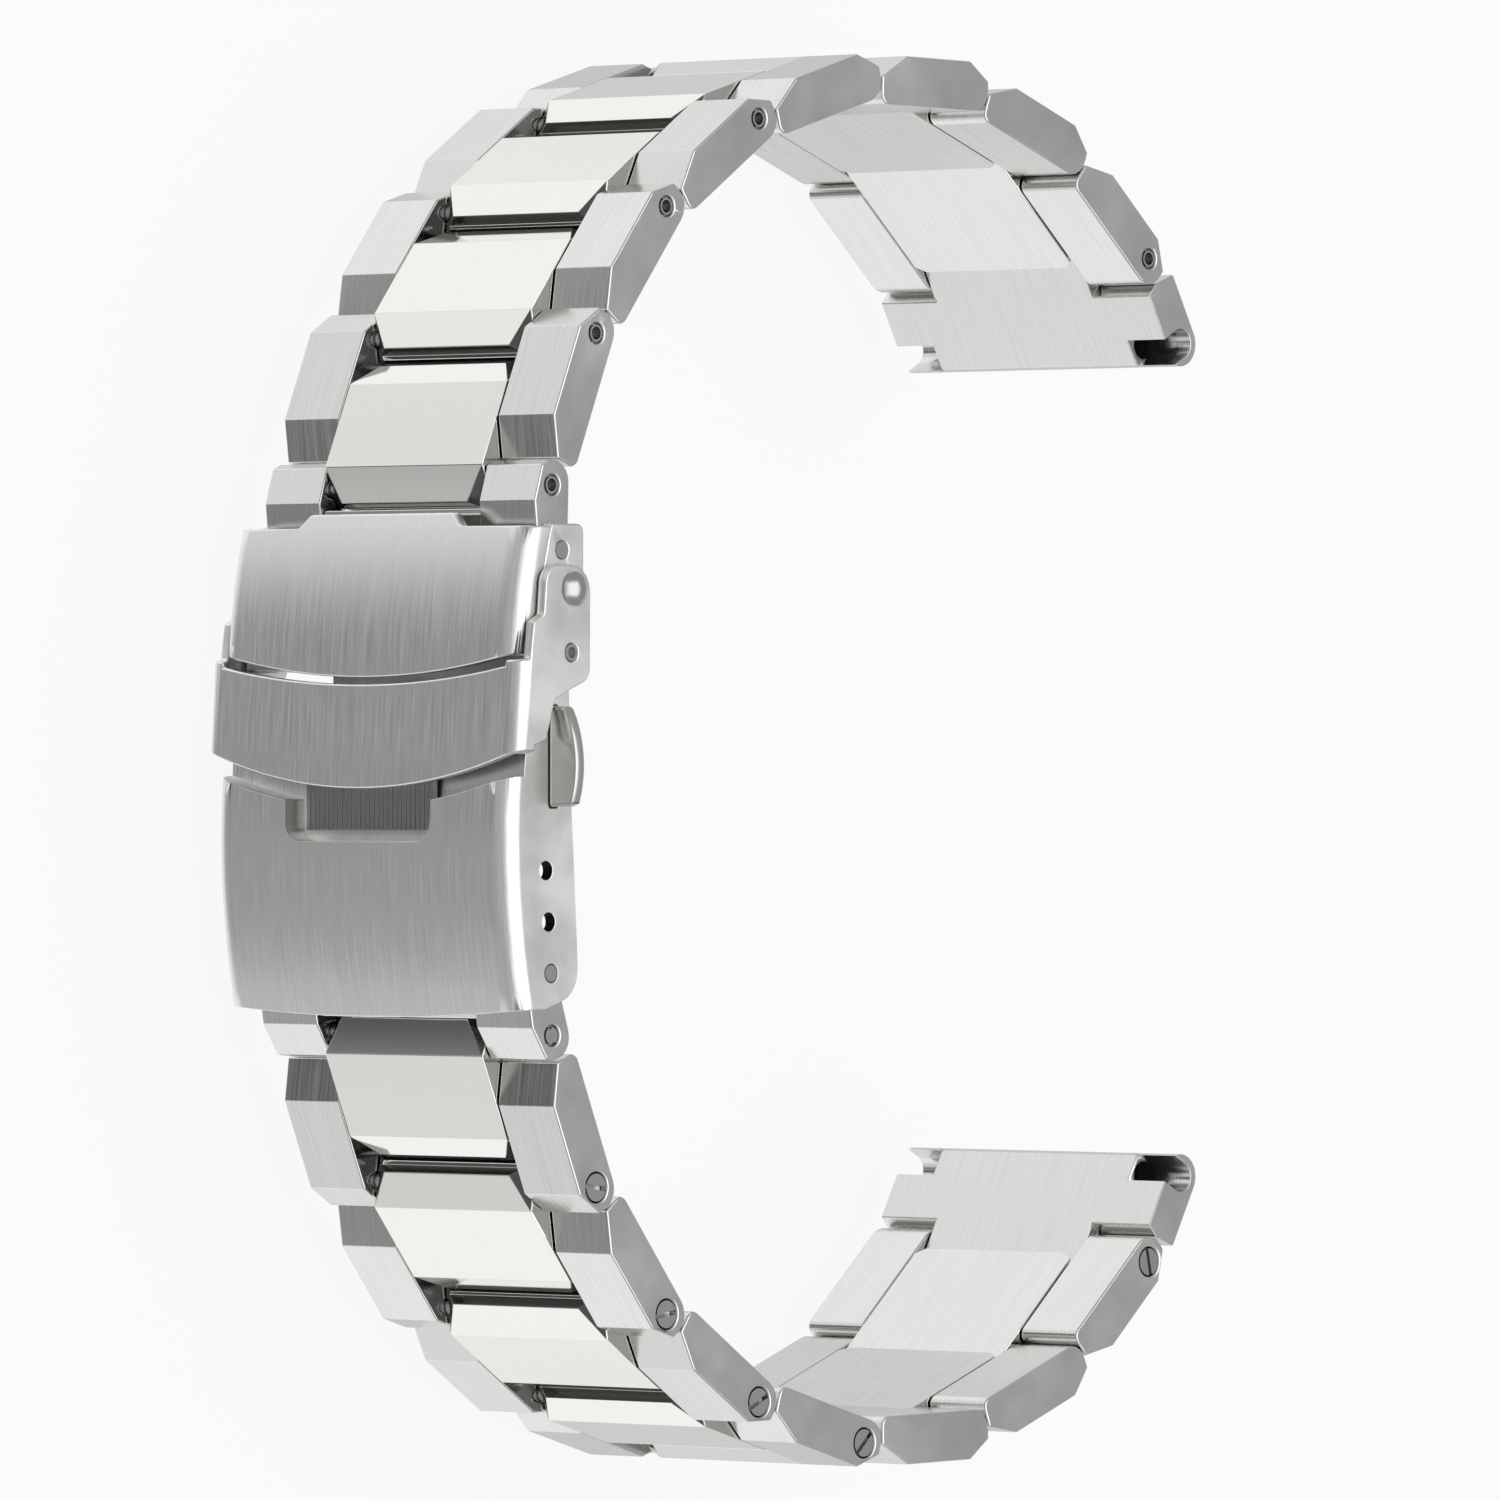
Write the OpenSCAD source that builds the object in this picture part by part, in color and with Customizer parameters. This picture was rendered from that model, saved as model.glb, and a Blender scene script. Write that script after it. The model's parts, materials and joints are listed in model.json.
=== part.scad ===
/* [Strand] */
// Width of the strand across both side plates
strand_w = 22; // [21:0.5:23]
// Width of the polished centre of a link
centre_w = 12.8; // [12:0.1:13.6]
// Gap between a centre and each plate beside it
centre_gap = 0.1; // [0.05:0.01:0.2]
// Distance between the two hinge pins of a link
link_pitch = 9.7; // [9.5:0.1:10.2]
// Distance between the two pins of the short link
short_pitch = 3.8; // [3.7:0.05:4]
// Thickness of a link
link_t = 3; // [2.9:0.05:3.1]
// Distance from a hinge pin to the end face of a plate
plate_end = 1.5; // [1.4:0.05:1.55]
// Distance from a hinge pin to the start face of the next plate
plate_start = 1.62; // [1.6:0.02:1.8]
// Radius of a centre's tongue about the hinge pin
tongue_r = 1.6; // [1.5:0.05:1.65]
// Radius of the hollow in a centre for the next tongue
hollow_r = 1.75; // [1.7:0.05:1.85]
// Direction of each link and of the end link, from the clasp on
link_turns = [23, 38.5, 56, 73.5, 91, 111, 132, 151];
// Direction of the short link at the cover
lower_short_turn = 16; // [12:1:20]
// Direction of the short link at the head
upper_short_turn = 0; // [-2:1:6]

/* [Pins of the strand] */
// Radius of a push pin and of a press pin
pin_r = 0.6; // [0.5:0.05:0.7]
// Radius of a screw's head
screw_head_r = 0.82; // [0.76:0.02:1]
// Gap round a screw's head and round the end of a pin
head_gap = 0.09; // [0.05:0.01:0.12]
// Length of a screw's head
screw_head_l = 1.3; // [1:0.1:1.6]
// Depth of the hollow in the end of a push pin
pin_hollow_l = 1.2; // [0.8:0.1:2]
// Clearance of a pin in a hole that holds it
hold_gap = 0.02; // [0.01:0.01:0.03]
// Clearance of a pin in a hole that turns on it
turn_gap = 0.07; // [0.05:0.01:0.09]

/* [End link] */
// Distance from the hinge pin to the spring bar bore
lug_x = 5.9; // [5.7:0.1:6.3]
// Radius of the spring bar bore
lug_bore_r = 0.9; // [0.8:0.05:0.95]
// Radius of the rounded tip about the bore
lug_tip_r = 1.4; // [1.3:0.05:1.45]
// Length of the window that opens the bore at each side face
window_l = 3; // [2.5:0.1:3.5]
// Height of the inner face of the end link below its pin
end_inner = 1.1; // [1.05:0.05:1.25]

/* [Cover] */
// Clearance between the strand and the clasp on each side
side_gap = 0.1; // [0.08:0.01:0.15]
// Thickness of the side walls
wall_t = 0.8; // [0.7:0.05:0.85]
// Thickness of the deck
deck_t = 0.9; // [0.8:0.05:1]
// Radius of the deck's curve along the strand
deck_r = 45; // [44:0.5:48]
// Radius of the long edges of the cover
cover_edge_r = 1.4; // [1.2:0.1:2]
// Height of the deck's highest line from the middle of the strand's arch
deck_top = 34.1; // [34:0.05:34.2]
// Depth of the recess under the lock
recess_d = 1.55; // [1.5:0.05:1.6]
// Width of the notch for the grip tab
notch_w = 11.8; // [11.4:0.2:13]
// Position of the foot of the notch
notch_x = 4.76; // [4.6:0.02:5.2]
// Position of the deck's lower edge at its middle
cover_end = 15.05; // [14.5:0.05:15.2]
// Radius of the three adjusting holes in each wall
adjust_r = 0.55; // [0.5:0.01:0.6]
// Distance between the adjusting holes
adjust_pitch = 3; // [2.8:0.1:3.1]

/* [Head] */
// Thickness of the head's side flanges
flange_t = 0.7; // [0.6:0.05:0.75]
// Thickness of the top shell
shell_t = 0.7; // [0.6:0.05:0.8]
// Radius of the shell's curve along the strand
shell_r = 35; // [34.5:0.5:38]
// Depth of the shell's side skirts
skirt_d = 2.1; // [1.6:0.05:2.2]
// Thickness of the skin side blade
blade_t = 0.7; // [0.6:0.05:0.75]
// Thickness of the middle blade
middle_t = 0.6; // [0.5:0.05:0.65]
// Width of the middle blade
middle_w = 8; // [7:0.2:8]
// Width of the skin side blade between the walls
blade_w = 16; // [14:0.5:17]

/* [Lock] */
// Thickness of the lock's sheet
lock_t = 0.65; // [0.6:0.05:0.7]
// Gap between the lock's ears and the cover's walls
ear_gap = 0.1; // [0.06:0.01:0.15]
// Radius of the lock's bent corners
lock_edge_r = 1; // [0.8:0.1:1.2]
// Height that the rivet heads stand out from the ears
rivet_h = 0.55; // [0.4:0.05:0.6]
// Radius of the rivet heads
rivet_head_r = 1; // [0.8:0.05:1.1]
// Number of ribs across the grip tab
ribs = 28; // [16:1:30]

/* [Buttons] */
// Distance that a button stands out from the wall
button_h = 2.1; // [1.9:0.05:2.2]
// Distance that a button is pressed
press = 0.8; // [0.7:0.05:0.8]
// Gap round the button in the wall
button_gap = 0.1; // [0.08:0.01:0.15]
// Thickness of the button along the clasp's height
button_t = 0.75; // [0.65:0.05:0.9]
// Radius of the button's domed rim
dome_r = 6.8; // [6:0.2:9]
// Radius of the button spring
spring_r = 0.7; // [0.6:0.05:0.8]
// Thickness of the button spring's wire
wire_d = 0.2; // [0.15:0.01:0.25]
// Number of turns of the button spring
coils = 3.5; // [3:0.5:4]

/* [Hidden] */
$fn = 48;
strands = ["lower", "upper"];
function link_count() = len(link_turns) - 1;
lower_screws = [1, 2, 3, 4, 7];
upper_push_pins = [1, 2, 3, 7];

// One node for every name here

// Heights across the strand, measured from its middle plane
plate_z0 = centre_w / 2 + centre_gap;
plate_z1 = strand_w / 2;
wall_z0 = plate_z1 + side_gap;
wall_z1 = wall_z0 + wall_t;
ear_z0 = wall_z1 + ear_gap;
ear_z1 = ear_z0 + lock_t;
rivet_z1 = ear_z1 + rivet_h;
face_z1 = wall_z1 + button_h;
half_t = link_t / 2;

// The pin between the short link and the first link, and the pins after it
first_pin = [16.05, -29.05];
function along(turn) = [cos(turn), sin(turn)];
pins = [for (k = 0, p = first_pin; k <= link_count(); p = p + link_pitch * along(link_turns[k]), k = k + 1) p];
function pin(k) = pins[k];
function pivot(turn) = first_pin - short_pitch * along(turn);
lower_pivot = pivot(lower_short_turn);
upper_pivot = pivot(upper_short_turn);

// The part lies on its side, with the middle of its outline over the origin
side_z1 = max(rivet_z1, face_z1);
end_turn = link_turns[link_count()];
lug_up = 0.1;
lug_centre = pin(link_count()) + lug_x * along(end_turn) - lug_up * along(end_turn + 90);
y_top = lug_centre[1] + lug_tip_r;
lock_top = 34.05;
y_bottom = -max(deck_top, lock_top);
y_shift = -(y_top + y_bottom) / 2;

// Corners as [x, y, radius] turned into points, with each round as an arc
arc_steps = 5;
function arc_point(p, q, w, f) = (p * sin((1 - f) * w) + q * sin(f * w)) / sin(w);
function corner(a, b, c, r) = let(
    u = (a - b) / norm(a - b),
    v = (c - b) / norm(c - b),
    half = acos(u * v) / 2,
    middle = (u + v) / norm(u + v) * r / sin(half),
    p = u * r / tan(half) - middle,
    q = v * r / tan(half) - middle)
    [for (i = [0:arc_steps]) b + middle + arc_point(p, q, 180 - 2 * half, i / arc_steps)];
function flat(p) = [p[0], p[1]];
function rounded(list) = let(n = len(list)) [for (i = [0:n - 1])
    each list[i][2] == 0 ? [flat(list[i])]
    : corner(flat(list[(i + n - 1) % n]), flat(list[i]), flat(list[(i + 1) % n]), list[i][2])];

module in_frame() {
    translate([0, y_shift, side_z1]) children();
}

// Lower side as drawn, upper side mirrored
module on_side(name) {
    in_frame() mirror([name == "upper" ? 1 : 0, 0, 0]) children();
}

// A place on the strand: x runs towards the watch, y towards the wrist
module on_link(name, k) {
    on_side(name) translate(pin(k - 1)) rotate(link_turns[k - 1]) children();
}

module on_short(name) {
    turn = name == "upper" ? upper_short_turn : lower_short_turn;
    on_side(name) translate(pivot(turn)) rotate(turn) children();
}

module both_sides() {
    children();
    mirror([0, 0, 1]) children();
}

module rod(r, z0, z1) {
    translate([0, 0, z0]) cylinder(r = r, h = z1 - z0);
}

module slab(z0, z1) {
    translate([0, 0, z0]) linear_extrude(z1 - z0) children();
}

module at(p) {
    translate([p[0], p[1], 0]) children();
}

// Side plates of a link, with the hidden pins that hold the link together
start_bevel = [3.85, 0.2];
end_bevel = 1.65;
end_drop = 0.35;
end_round = 1.3;
start_round = 0.6;
edge_round = 0.15;
hold_x = 4.4;
hold_pin_l = 2;

module plate_outline() {
    polygon(rounded([
        [plate_start, half_t, start_round],
        [plate_start, -start_bevel[1], edge_round],
        [start_bevel[0], -half_t, edge_round],
        [link_pitch + plate_end - end_bevel, -half_t, edge_round],
        [link_pitch + plate_end, -end_drop, edge_round],
        [link_pitch + plate_end, half_t, end_round]]));
}

module hold_pin() {
    at([hold_x, 0]) rod(pin_r, -plate_z0 - hold_pin_l, plate_z0 + hold_pin_l);
}

module hinge_pin() {
    at([link_pitch, 0]) rod(pin_r, -plate_z1 + 1, plate_z1 - 1);
}

// How the hinge pin at the watch end of link k is made
function pin_kind(name, k) =
    name == "lower" && len(search(k, lower_screws)) > 0 ? "screw"
    : name == "upper" && len(search(k, upper_push_pins)) > 0 ? "push" : "hidden";

module pin_hole(kind) {
    if (kind == "hidden") {
        rod(pin_r + hold_gap, -plate_z1 + 0.98, plate_z1 - 0.98);
    } else {
        rod(pin_r + hold_gap, -plate_z1 - 1, plate_z1 + 1);
    }
    if (kind == "screw") rod(screw_head_r + head_gap, plate_z1 - screw_head_l, plate_z1 + 1);
}

module link_sides(name, k) {
    kind = pin_kind(name, k);
    on_link(name, k) color("silver") {
        difference() {
            both_sides() slab(plate_z0, plate_z1) plate_outline();
            at([hold_x, 0]) rod(pin_r + hold_gap, -plate_z0 - hold_pin_l - 0.02, plate_z0 + hold_pin_l + 0.02);
            at([link_pitch, 0]) pin_hole(kind);
        }
        hold_pin();
        if (kind == "hidden") hinge_pin();
    }
}

// Centre of a link: a tongue round the clasp side pin, a bevel at each end, and a groove
// between the tongue's nose and the wall of the hollow that it turns in
tongue_bevel = [[-1.25, 0.57], [0.75, 1.5]];
hollow_bevel = [[-3.6, 1.5], [-2.1, 0.75]];
groove_foot = 0.1;
hip_w = 1.3;
hip_tilt = 50;

// Area under the outer face of a centre, with the bevels and half a groove at both ends
module centre_limit() {
    x0 = -tongue_r - 0.4;
    polygon([
        [x0, half_t], [x0, groove_foot], [tongue_bevel[0][0], groove_foot],
        [tongue_bevel[0][0], -tongue_bevel[0][1]], [tongue_bevel[1][0], -half_t],
        [link_pitch + hollow_bevel[0][0], -half_t],
        [link_pitch + hollow_bevel[1][0], -hollow_bevel[1][1]],
        [link_pitch - hollow_r + 0.05, groove_foot],
        [link_pitch, groove_foot], [link_pitch, half_t]]);
}

module centre_outline() {
    difference() {
        intersection() {
            union() {
                circle(tongue_r);
                translate([0, -half_t]) square([link_pitch, link_t]);
            }
            centre_limit();
        }
        translate([link_pitch, 0]) circle(hollow_r);
    }
}

// Cuts the corner of a bevel at the upper side face: top is where the bevel begins
module hip_cut(top, foot) {
    run = norm(foot - top);
    fall = atan2(foot[1] - top[1], foot[0] - top[0]);
    translate([top[0], top[1], centre_w / 2]) rotate([0, 0, fall])
        rotate([0, atan(hip_w / run), 0]) rotate([foot[0] < top[0] ? -hip_tilt : hip_tilt, 0, 0])
            translate([-1, -3, 0]) cube([run + 3, 6, 3]);
}

module link_centre(name, k) {
    far_pin = [link_pitch, 0];
    on_link(name, k) color("whitesmoke") difference() {
        slab(-centre_w / 2, centre_w / 2) centre_outline();
        rod(pin_r + turn_gap, -centre_w, centre_w);
        at([hold_x, 0]) rod(pin_r + hold_gap, -centre_w, centre_w);
        both_sides() {
            hip_cut([tongue_bevel[1][0], -half_t], [tongue_bevel[0][0], -tongue_bevel[0][1]]);
            hip_cut(far_pin + [hollow_bevel[0][0], -half_t], far_pin + [hollow_bevel[1][0], -hollow_bevel[1][1]]);
        }
    }
}

// Short link between the clasp and the first link
short_tongue_r = 1.35;
bar_r = 0.7;
bar_tip_r = 0.5;
short_hold = [2.05, 0.75];
short_hold_r = 0.3;

module short_plate_outline() {
    polygon(rounded([
        [-short_tongue_r, -1.1, 0.9],
        [0, -1.2, 0],
        [short_pitch - 0.9, -half_t, edge_round],
        [short_pitch + 1.2, -0.85, edge_round],
        [short_pitch + 1.46, -0.3, edge_round],
        [short_pitch + 1.46, half_t, end_round],
        [0.4, short_tongue_r, edge_round],
        [-short_tongue_r, short_tongue_r, short_tongue_r - edge_round]]));
}

module short_link_sides(name) {
    on_short(name) color("silver") {
        difference() {
            both_sides() slab(plate_z0, plate_z1) short_plate_outline();
            rod(bar_r + turn_gap, -strand_w, strand_w);
            at([short_pitch, 0]) rod(pin_r + hold_gap, -strand_w, strand_w);
            at(short_hold) rod(short_hold_r + hold_gap, -plate_z0 - 1.52, plate_z0 + 1.52);
        }
        at(short_hold) rod(short_hold_r, -plate_z0 - 1.5, plate_z0 + 1.5);
    }
}

module short_link_centre(name) {
    on_short(name) color("whitesmoke") difference() {
        slab(-centre_w / 2, centre_w / 2) difference() {
            intersection() {
                union() {
                    circle(short_tongue_r);
                    translate([0, -1.15]) square([short_pitch, 1.15 + short_tongue_r]);
                }
                translate([-2, -1.15]) square([short_pitch + 2, 1.15 + short_tongue_r]);
            }
            translate([short_pitch, 0]) circle(hollow_r);
        }
        rod(bar_r + turn_gap, -centre_w, centre_w);
        at(short_hold) rod(short_hold_r + hold_gap, -centre_w, centre_w);
    }
}

// End link: a tongue in the last link and a full width bar for the watch
end_start = [[1.95, 1.1], [1.62, 0.2], [1.85, -1.5]];

module end_outline() {
    polygon(rounded([
        [end_start[0][0], end_inner, edge_round],
        [end_start[1][0], end_start[1][1], 0.4],
        [end_start[2][0], -half_t, edge_round],
        [lug_x, -half_t, 0],
        [lug_x, end_inner, 0]]));
    intersection() {
        translate([lug_x, -lug_up]) circle(lug_tip_r);
        translate([lug_x - 2, -half_t - 1]) square([4, half_t + 1 + end_inner]);
    }
}

module end_tongue_outline() {
    intersection() {
        union() {
            circle(tongue_r);
            translate([0, -half_t]) square([3, link_t]);
        }
        translate([-2, -half_t]) square([5, half_t + end_inner]);
    }
}

module end_link(name) {
    on_link(name, link_count() + 1) color("silver") difference() {
        union() {
            slab(-plate_z1, plate_z1) end_outline();
            slab(-centre_w / 2, centre_w / 2) end_tongue_outline();
        }
        rod(pin_r + turn_gap, -strand_w, strand_w);
        at([lug_x, -lug_up]) rod(lug_bore_r, -strand_w, strand_w);
        both_sides() translate([lug_x - lug_bore_r, -lug_up, plate_z1 - window_l])
            cube([2 * lug_bore_r, end_inner + 1, window_l + 1]);
    }
}

// Pins and screws that show in the side plates
slot_w = 0.26;
slot_d = 0.55;
slot_turn = 60;
pin_end_l = 0.45;

// A pin through both plates, turned down at its ends
module through_pin() {
    rod(pin_r, -plate_z1 + pin_end_l, plate_z1 - pin_end_l);
    rod(pin_r - head_gap, -plate_z1 + 0.05, plate_z1 - 0.05);
}

module push_pin() {
    pin_bore_r = pin_r - 0.22;
    difference() {
        through_pin();
        both_sides() rod(pin_bore_r, plate_z1 - 0.05 - pin_hollow_l, plate_z1);
    }
}

module screw() {
    difference() {
        union() {
            rod(pin_r, -plate_z1 + 0.2, plate_z1 - 0.05);
            rod(screw_head_r, plate_z1 - screw_head_l + 0.02, plate_z1 - 0.05);
        }
        translate([0, 0, plate_z1 - slot_d]) rotate(slot_turn)
            translate([-2, -slot_w / 2, 0]) cube([4, slot_w, 1]);
    }
}

module notched_pin() {
    difference() {
        through_pin();
        both_sides() for (side = [-1, 1])
            translate([side * (pin_r - head_gap) - 0.12, -0.12, plate_z1 - 0.4]) cube([0.24, 0.24, 1]);
    }
}

module link_screw(k) {
    on_link("lower", k) at([link_pitch, 0]) color("gainsboro") screw();
}

module link_push_pin(k) {
    on_link("upper", k) at([link_pitch, 0]) color("gainsboro") push_pin();
}

module short_link_pin(name) {
    on_short(name) at([short_pitch, 0]) color("gainsboro")
        if (name == "upper") push_pin(); else notched_pin();
}

// Cover: a curved deck on two side walls, with a recess for the lock
deck_axis = [4.6, deck_r - deck_top];
recess_r = deck_r - recess_d;
floor_r = recess_r - deck_t;
under_r = deck_r - deck_t;
lip_axis = -36.65;
lip_r = 39.4;
end_arc_r = 131;
floor_end = -4.3;
wall_start = -4.9;
notch_corner_r = 1.2;
wall_foot = [[wall_start, -28.6], [2.8, -28.35], [11.4, -27.85], [13.6, -27.8], [14.7, -31.2]];
fold_axis = [-3.6, -29.9];
fold_r = 0.75;
fold_pin_r = 0.4;
lug_w = 0.9;

// Ring round an axis along z: the cross section of a part bent to a radius
module bent(axis, r, half_w, edge_r, depth) {
    at(axis) rotate_extrude($fn = 96) {
        translate([r - depth, -half_w]) square([depth - edge_r, 2 * half_w]);
        translate([r - edge_r - 0.01, -half_w + edge_r]) square([edge_r + 0.01, 2 * (half_w - edge_r)]);
        for (side = [-1, 1])
            translate([r - edge_r, side * (half_w - edge_r)]) circle(edge_r);
    }
}

module cover_side_outline() {
    polygon(rounded([
        [wall_foot[0][0], -deck_top - 1, 0],
        [wall_foot[0][0], wall_foot[0][1], 0.4],
        [wall_foot[1][0], wall_foot[1][1], 0],
        [wall_foot[2][0], wall_foot[2][1], 0],
        [wall_foot[3][0], wall_foot[3][1], 1.9],
        [wall_foot[4][0], wall_foot[4][1], 0.3],
        [cover_end + 1, -deck_top - 1, 0]]));
}

// Areas seen from above the deck, in x and z
module plan(y0, y1) {
    translate([0, y1, 0]) rotate([90, 0, 0]) linear_extrude(y1 - y0) children();
}

module recess_area() {
    intersection() {
        translate([lip_axis, 0]) circle(lip_r, $fn = 96);
        translate([-12, -wall_z1 - 2]) square([20, 2 * wall_z1 + 4]);
    }
    polygon(rounded([
        [0, -notch_w / 2, 0], [notch_x, -notch_w / 2, notch_corner_r],
        [notch_x, notch_w / 2, notch_corner_r], [0, notch_w / 2, 0]]));
}

module under_area() {
    intersection() {
        translate([lip_axis, 0]) circle(lip_r + deck_t, $fn = 96);
        translate([-12, -wall_z1 - 2]) square([20, 2 * wall_z1 + 4]);
    }
    polygon([
        [0, -notch_w / 2 - deck_t], [notch_x + deck_t, -notch_w / 2 - deck_t],
        [notch_x + deck_t, notch_w / 2 + deck_t], [0, notch_w / 2 + deck_t]]);
}

module ring_cut(r0, r1, half_w) {
    translate([deck_axis[0], deck_axis[1], 0]) slab(-half_w, half_w) difference() {
        circle(r1, $fn = 96);
        if (r0 > 0) circle(r0, $fn = 96);
    }
}

// Section of a button in the wall, grown by a gap for the hole
button_x = [-3.15, 2.7];
button_foot = -29.5;

module button_outline(grow) {
    x0 = button_x[0] - grow;
    x1 = button_x[1] + grow;
    y0 = button_foot - button_t - grow;
    y1 = button_foot + grow;
    polygon(rounded([[x0, y0, 0.25], [x1, y0, 0.25], [x1, y1, 0.25], [x0, y1, 0.25]]));
}

module clasp_cover() {
    in_frame() color("silver") {
        difference() {
            intersection() {
                bent(deck_axis, deck_r, wall_z1, cover_edge_r, 12);
                slab(-wall_z1 - 1, wall_z1 + 1) cover_side_outline();
                plan(-deck_top - 1, -26) intersection() {
                    translate([cover_end - end_arc_r, 0]) circle(end_arc_r, $fn = 180);
                    translate([-6, -wall_z1 - 1]) square([30, 2 * wall_z1 + 2]);
                }
            }
            // the room under the raised deck, then under the recess
            difference() {
                ring_cut(0, under_r, wall_z0);
                plan(-deck_top - 1, -20) under_area();
            }
            intersection() {
                ring_cut(0, floor_r, wall_z0);
                plan(-deck_top - 1, -20) under_area();
            }
            // the recess itself, cut from outside
            intersection() {
                ring_cut(recess_r, deck_r + 2, wall_z1 + 2);
                plan(-deck_top - 2, -30) recess_area();
            }
            translate([wall_start - 1, -deck_top - 1, -wall_z0])
                cube([floor_end - wall_start + 1, 8, 2 * wall_z0]);
            both_sides() {
                slab(wall_z0 - 0.5, wall_z1 + 1) button_outline(button_gap);
                for (i = [0:2])
                    at(lower_pivot - i * adjust_pitch * [0.997, 0.075]) rod(adjust_r, wall_z0 - 0.5, wall_z1 + 1);
            }
        }
        both_sides() {
            // lugs that hold the hinge pin of the middle blade
            difference() {
                slab(middle_w / 2 + side_gap, middle_w / 2 + side_gap + lug_w) lug_outline();
                at(fold_axis) rod(fold_pin_r + turn_gap, 0, wall_z0);
            }
            // seat of the button spring
            slab(seat_z - 0.6, seat_z) intersection() {
                translate([-1.2, -deck_top]) square([2.4, deck_top + seat_foot]);
                at(deck_axis) circle(floor_r + 0.3, $fn = 96);
            }
        }
    }
}

module lug_outline() {
    at(fold_axis) circle(fold_r);
    intersection() {
        translate([fold_axis[0] - 0.6, -deck_top]) square([fold_r + 0.6, deck_top + fold_axis[1]]);
        at(deck_axis) circle(floor_r + 0.3, $fn = 96);
    }
}

// Spring bar: a tube with a sprung tip in each end
module spring_bar() {
    tube_z = plate_z1 - 0.1;
    in_frame() at(lower_pivot) color("gainsboro") {
        difference() {
            rod(bar_r, -tube_z, tube_z);
            both_sides() rod(bar_tip_r + hold_gap, tube_z - 3, tube_z + 1);
        }
        both_sides() rod(bar_tip_r, tube_z - 2.6, wall_z1 - 0.02);
    }
}

// Middle blade, hinged to the cover at one end and to the skin side blade at the other
blade_foot = -27.2;
blade_axis = [9.8, blade_foot - 0.7];
knuckle_r = 0.7;
middle_foot = blade_foot - blade_t - 0.1;

module middle_blade() {
    in_frame() color("silver") difference() {
        slab(-middle_w / 2, middle_w / 2) union() {
            at(fold_axis) circle(fold_r);
            at(blade_axis) circle(knuckle_r);
            polygon([
                [-3.6, -30.3], [-2.5, -30.1], [4, middle_foot - middle_t], [9.8, middle_foot - middle_t],
                [9.8, middle_foot], [3.9, middle_foot], [-2.8, -29.45], [-3.6, -29.4]]);
        }
        at(fold_axis) rod(fold_pin_r + hold_gap, -middle_w, middle_w);
        at(blade_axis) rod(fold_pin_r + hold_gap, -middle_w, middle_w);
    }
}

// Pins of the middle blade's two hinges
module fold_hinge_pins() {
    lug_z1 = middle_w / 2 + side_gap + lug_w;
    in_frame() color("gainsboro") {
        at(fold_axis) rod(fold_pin_r, -lug_z1, lug_z1);
        at(blade_axis) rod(fold_pin_r, -blade_w / 2, blade_w / 2);
    }
}

// Skin side blade: a flat blade that ends in the head, a channel for the short link
shell_axis = [-4.3, shell_r - 33.5];
rim_r = shell_r - skirt_d;
flange_z0 = plate_z1 + side_gap;
flange_z1 = flange_z0 + flange_t;
head_front = -13.8;
head_back = -5.2;
head_floor = -10.6;
lock_axis = [-9.98, -28.92];
rivet_r = 0.6;
catch_t = 0.8;
catch_z1 = wall_z0 - 0.7;
catch_z0 = catch_z1 - catch_t;
catch_tip = -30.2;
hook_l = 0.65;
hook_y = -29.65;
hook_z = catch_z0 - hook_l;
lip_l = 0.7;
lip_z = hook_z - 0.05;
latch_t = 0.8;
latch_z1 = lip_z - lip_l;
latch_z0 = latch_z1 - latch_t;
latch_foot = -28.9;
shank_y = [-31.1, -30.5];
seat_z = latch_z0 - press - 1;
seat_foot = -29.4;

module flange_outline() {
    intersection() {
        polygon(rounded([
            [head_front, -33.6, 0], [head_front, blade_foot, 0.5],
            [head_back, blade_foot, 0.3], [head_back, -33.6, 0]]));
        at(shell_axis) circle(rim_r - 0.05, $fn = 96);
    }
}

module skin_blade() {
    in_frame() color("silver") difference() {
        union() {
            both_sides() {
                slab(flange_z0, flange_z1) flange_outline();
                // knuckle beside the middle blade's
                slab(middle_w / 2 + side_gap, blade_w / 2) {
                    at(blade_axis) circle(knuckle_r);
                    translate([8, blade_foot - blade_t]) square([1.8, blade_t]);
                }
                // catch for a button's latch
                slab(blade_w / 2 - 1, catch_z1)
                    translate([-1.7, blade_foot - blade_t]) square([3.4, blade_t]);
                slab(catch_z0, catch_z1)
                    translate([-1.5, catch_tip]) square([3, blade_foot - catch_tip]);
                slab(hook_z, catch_z0 + 0.1)
                    translate([-1.2, catch_tip]) square([2.4, hook_y - catch_tip]);
            }
            slab(-blade_w / 2, blade_w / 2)
                translate([head_floor, blade_foot - blade_t]) square([8.6 - head_floor, blade_t]);
            slab(-flange_z1, flange_z1)
                translate([head_floor, blade_foot - blade_t])
                    square([head_back - head_floor, blade_t]);
            // bridge that carries the shell
            slab(-flange_z1, flange_z1) intersection() {
                translate([-10, -34]) square([3.2, 4]);
                ring_area(rim_r - 0.8, rim_r - 0.05);
            }
            slab(-wall_z0 + 1, wall_z0 - 1) intersection() {
                translate([-10, -34]) square([3.2, 4]);
                ring_area(rim_r - 0.8, shell_r - shell_t - 0.02);
            }
        }
        at(blade_axis) rod(fold_pin_r + turn_gap, -strand_w, strand_w);
        at(upper_pin) rod(bar_tip_r + hold_gap, -strand_w, strand_w);
        at(lock_axis) rod(rivet_r + hold_gap, -strand_w, strand_w);
    }
}

upper_pin = [-upper_pivot[0], upper_pivot[1]];

module ring_area(r0, r1) {
    at(shell_axis) difference() {
        circle(r1, $fn = 96);
        circle(r0, $fn = 96);
    }
}

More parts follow.
